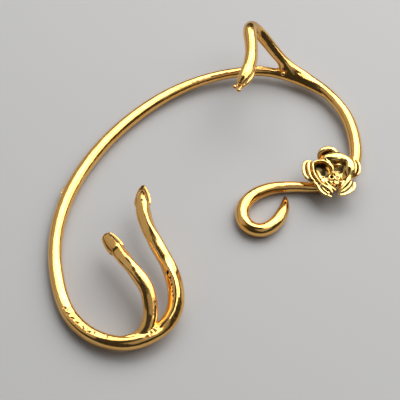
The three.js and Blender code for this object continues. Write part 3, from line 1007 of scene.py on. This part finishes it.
def head(path, parts):
    """A serpent's head worked in one with its neck: the neck's tube and the head's parts cast
    together on a fine grid and relaxed."""
    back = path["along"][-1] - path["along"]
    on_neck = (back < NECK_REACH) & (back > NECK_START)
    neck = {name: values[on_neck] for name, values in path.items()}
    back = path["along"][-1] - neck["along"]
    run = np.clip((back - NECK_REACH) / NECK_RUN + 1, 0, 1)
    proud = NECK_PROUD - NECK_DIVE * run**2
    slim = np.clip((back - NECK_START) / NECK_SWELL, 0.1, 1) ** 0.5
    for measure in ("wide", "high"):
        neck[measure] = neck[measure] * slim + proud
    neck["along"] = neck["along"] - neck["along"][0]
    everywhere = (*neck["centre"][0][:2], 20)
    bodies = [wire_tube(neck, [everywhere])]
    bodies += [head_part(path, *part) for part in parts]
    return cast(join_bodies("head", bodies), HEAD_VOXEL)


def ear_wire(material):
    """The soldered frame: three wires welded and filleted, heads, tongue, solder and lumps
    welded on, pits taken out, and its painted shade (in the pits and the heads' grooves) and
    painted dark reflection (over the hook's bend) kept for the gold to read."""
    rows_of = {"outer": HOOP_AND_OUTER_PRONG, "inner": INNER_PRONG, "serpent": SERPENT}
    faces = {"outer": OUTER_FACES, "inner": INNER_FACES, "serpent": SERPENT_FACES}
    whole = {name: wire_path(rows, faces[name]) for name, rows in rows_of.items()}
    wire = {name: wire_path(rows, faces[name], WIRE_END) for name, rows in rows_of.items()}
    tubes = [
        wire_tube(wire["outer"], [FORK[:3], PITTED, HOOP_END[:3]]),
        wire_tube(wire["inner"], [FORK[:3]]),
        wire_tube(wire["serpent"], [HOOP_END[:3], TAIL_TIP]),
    ]
    parts = [mesh_object("wire", *body) for body in tubes]
    base = weld(parts[0], parts[1:])
    fillet(base, wire["outer"], wire["inner"], FORK)
    fillet(base, wire["outer"], wire["serpent"], HOOP_END)
    tongue = [rod(TONGUE_ROOT, end, TONGUE_THICK) for end in TONGUE_ENDS]
    tongue += [ball(end, (TONGUE_BEAD / 2,) * 3) for end in TONGUE_ENDS]
    heads = [
        head(whole["outer"], [(POINTED_FLANGE, 0.85, RIM_DISH), (POINTED_CROWN, 0.85, 0)]),
        head(whole["inner"], [(ROUND_FLANGE, 0.85, RIM_DISH), (ROUND_CROWN, 0.7, 0)]),
        head(whole["serpent"], [(HOOK_JAW, 0.75, 0), (HOOK_CROWN, 0.9, 0)]),
    ]
    weld(base, heads)
    smooth_joins(base, whole.values())
    weld(base, [mesh_object("wire detail", *ball(*row)) for row in SOLDER])
    smooth_solder(base, SOLDER)
    weld(base, [mesh_object("wire detail", *body) for body in tongue])
    weld(base, [mesh_object("wire detail", *ball(*row)) for row in LUMPS])
    carve(base, join_bodies("wire pits", [ball(*row[:2], rows=10, columns=16) for row in PITS]))
    # Painted shade in the pits, a little wider than them.
    pit_shade = [(centre, np.array(size) * PIT_SHADE_WIDTH, dark) for centre, size, dark in PITS]
    points = vertices_of(base)
    store_painted_shade(base, np.max([
        painted_spot_share(points, pit_shade),
        # A painted dark-brown reflection over the hook's bend.
        painted_spot_share(points, HOOK_BEND_DARK_REFLECTION, BEND_REFLECTION_FADE),
        # Painted shade in the heads' grooves.
        groove_shade_share(points, whole["outer"], POINTED_FLANGE, POINTED_CROWN),
        groove_shade_share(points, whole["inner"], ROUND_FLANGE, ROUND_CROWN),
    ], axis=0))
    base.name = base.data.name = "gold_wire"
    return finish_piece(base, "ear_wire", material)


def petal_sheet(bottom, bowl, rim, across, rise):
    """A petal's middle surface. In plan a point of a bowl goes from the bottom to the rim as
    sin(90 deg * rise) and its height as 1 - cos; on a cone both go as rise itself."""
    share = np.linspace(0, 1, len(rim))
    edge = np.stack([np.interp(across, share, rim[:, axis]) for axis in range(3)], axis=-1)
    outward = bowl * np.sin(rise * math.pi / 2) + (1 - bowl) * rise
    upward = bowl * (1 - np.cos(rise * math.pi / 2)) + (1 - bowl) * rise
    climb = np.stack([outward, outward, upward], axis=-1)
    return bottom + (edge - bottom) * climb


def petal(bottom, bowl, stations):
    """A petal as loops carried across it: each loop climbs the inner face, rounds the lip on a
    half circle and goes down the outer face, half a thickness to each side of the sheet."""
    nudge = 0.01
    bottom = np.array(bottom)
    rim = fine_curve(column_rows(stations))
    along = distance_along(rim[:, :3])
    even = np.linspace(0, along[-1], RIM_POINTS)
    rim = np.stack([np.interp(even, along, column) for column in rim.T], axis=-1)
    across = np.linspace(0, 1, PETAL_COLUMNS)[:, None]
    rise = np.linspace(0, 1, PETAL_ROWS)[None, :]
    across, rise = np.broadcast_arrays(across, rise)

    def sheet(across, rise):
        return petal_sheet(bottom, bowl, rim, across, rise)

    ahead, behind = np.minimum(across + nudge, 1), np.maximum(across - nudge, 0)
    along_rim = sheet(ahead, np.maximum(rise, nudge)) - sheet(behind, np.maximum(rise, nudge))
    along_rise = unit(sheet(across, rise + nudge) - sheet(across, rise - nudge))
    normal = unit(np.cross(along_rise, along_rim))
    lip_thick = np.interp(across, np.linspace(0, 1, len(rim)), rim[:, 3])
    half = (PETAL_THICK + (lip_thick - PETAL_THICK) * rise**LIP_POWER) / 2
    half = (half * (1 - SIDE_THINNING * np.abs(2 * across - 1) ** SIDE_POWER))[..., None]
    middle = sheet(across, rise)
    swing = np.linspace(0, math.pi, LIP_STEPS)[1:-1][None, :, None]
    lip = middle[:, -1:] + half[:, -1:] * (
        normal[:, -1:] * np.cos(swing) + along_rise[:, -1:] * np.sin(swing) * LIP_RISE
    )
    inner = middle + normal * half
    outer = (middle - normal * half)[:, ::-1]
    return closed_tube(np.concatenate([inner, lip, outer], axis=1)[:, ::-1])


def ring(centre, radius, thick, sides=32, corners=12):
    """A level ring: centre + (radius + half thickness * cos) outward + half thickness * sin."""
    turn = np.linspace(0, 2 * math.pi, sides, endpoint=False)[:, None]
    round_it = np.linspace(0, 2 * math.pi, corners, endpoint=False)[None, :]
    reach = radius + thick / 2 * np.cos(round_it)
    points = np.stack(
        [reach * np.cos(turn), reach * np.sin(turn),
         np.broadcast_to(thick / 2 * np.sin(round_it), (sides, corners))], axis=-1,
    )
    row, corner = np.meshgrid(np.arange(sides), np.arange(corners), indexing="ij")
    next_row, next_corner = (row + 1) % sides, (corner + 1) % corners
    quads = np.stack(
        [row * corners + corner, next_row * corners + corner,
         next_row * corners + next_corner, row * corners + next_corner], axis=-1,
    )
    return (points + np.array(centre)).reshape(-1, 3), [quads.reshape(-1, 4)]


def turned(profile, sides=64):
    """A profile of radius and height turned round the flower's axis."""
    profile = np.array(profile)
    angle = np.linspace(0, 2 * math.pi, sides, endpoint=False)[None, :]
    radius, height = profile[:, :1], profile[:, 1:]
    x = FLOWER_AXIS[0] + radius * np.cos(angle)
    y = FLOWER_AXIS[1] + radius * np.sin(angle)
    return closed_tube(np.stack([x, y, np.broadcast_to(height, x.shape)], axis=-1))


def crevice_shade_share(piece):
    """How far a heavily relaxed copy of the surface lies outside it, against RECESS_DEPTH: the
    share of painted shade in the crevices.
    """
    sharp = vertices_of(piece)
    relax(piece, RECESS_ROUNDS, 0.5)
    soft = vertices_of(piece)
    set_vertices(piece, sharp)
    normals = np.empty(len(sharp) * 3, np.float32)
    piece.data.vertices.foreach_get("normal", normals)
    return ((soft - sharp) * normals.reshape(-1, 3)).sum(axis=1) / RECESS_DEPTH


def flower(material):
    """The cast flower: cup, petals, stamens and rings melted together, the groove for the wire
    and the stamens' pits taken out, and painted shade in its crevices and hollows kept for the
    gold to read."""
    bodies = [turned(CUP)]
    bodies += [petal(*row) for row in PETALS.values()]
    bodies += [ball(*row) for row in STAMENS]
    bodies += [ring(*row) for row in STAMEN_RINGS]
    piece = cast(join_bodies("cast_flower", bodies), FLOWER_VOXEL)
    path = wire_path(SERPENT, SERPENT_FACES)
    near = np.hypot(*(path["centre"][:, :2] - FLOWER_AXIS).T) < SEAT_REACH
    seat = {name: values[near] for name, values in path.items()}
    seat["wide"] = seat["wide"] + SEAT_GAP
    seat["high"] = seat["high"] + SEAT_GAP
    hollows = [wire_tube(seat), *[ball(*row) for row in STAMEN_PITS]]
    carve(piece, join_bodies("seat groove and pits", hollows))
    # Painted shade in the crevices and in the listed hollows.
    store_painted_shade(piece, np.maximum(crevice_shade_share(piece), painted_spot_share(vertices_of(piece), SHADED_HOLLOWS)))
    return finish_piece(piece, "flower", material)


# ---------------------------------------------------------------------------------------
# Floor, light and camera
# ---------------------------------------------------------------------------------------


def make_floor():
    """A plain pale board just under the earring, as a level square."""
    level = cad_low.z - FLOOR_DROP * MM
    corners = [(-1, -1), (1, -1), (1, 1), (-1, 1)]
    points = [(x * FLOOR_HALF, y * FLOOR_HALF, level) for x, y in corners]
    floor = mesh_object("floor", points, [np.array([[0, 1, 2, 3]])])
    paint = bpy.data.materials.new("pale matt board")
    paint.use_nodes = True
    shader = paint.node_tree.nodes["Principled BSDF"]
    shader.inputs["Base Color"].default_value = (*FLOOR_TONE, 1)
    shader.inputs["Roughness"].default_value = 0.7
    floor.data.materials.append(paint)


def soft_box(name, bearing, elevation, distance, width, height, radiance):
    """A rectangular lamp that faces the object, at a bearing from +X towards +Y and an
    elevation in degrees, in metres; its power is radiance * pi * area."""
    lamp = bpy.data.lights.new(name, "AREA")
    lamp.shape = "RECTANGLE"
    lamp.size, lamp.size_y = width, height
    lamp.energy = radiance * math.pi * width * height
    holder = bpy.data.objects.new(name, lamp)
    bpy.context.scene.collection.objects.link(holder)
    bearing, elevation = math.radians(bearing), math.radians(elevation)
    towards = Vector((
        math.cos(bearing) * math.cos(elevation),
        math.sin(bearing) * math.cos(elevation),
        math.sin(elevation),
    ))
    holder.location = towards * distance
    holder.rotation_mode = "QUATERNION"
    holder.rotation_quaternion = towards.to_track_quat("Z", "Y")


def make_lights():
    """A dim even room and the soft boxes."""
    world = bpy.data.worlds.new("studio")
    world.use_nodes = True
    world.node_tree.nodes["Background"].inputs["Color"].default_value = (*ROOM_TONE, 1)
    bpy.context.scene.world = world
    for row in LIGHTS:
        soft_box(*row)


def make_camera():
    """A long lens looking down at the earring from the front."""
    camera_data = bpy.data.cameras.new("camera")
    camera_data.lens = CAMERA_LENS
    camera_data.sensor_width = 36
    camera_data.clip_start = 0.01
    camera = bpy.data.objects.new("camera", camera_data)
    bpy.context.scene.collection.objects.link(camera)
    back = Vector(CAMERA_BACK) * MM
    camera.location = Vector(CAMERA_AIM) * MM + back
    camera.rotation_mode = "QUATERNION"
    camera.rotation_quaternion = back.to_track_quat("Z", "Y")
    bpy.context.scene.camera = camera


make_camera()
make_floor()
make_lights()
bpy.context.scene.view_settings.view_transform = "Standard"
ear_wire(gold("polished gold plate on wire", WIRE_LOOK))
flower(gold("polished gold plate on the cast flower", FLOWER_LOOK))
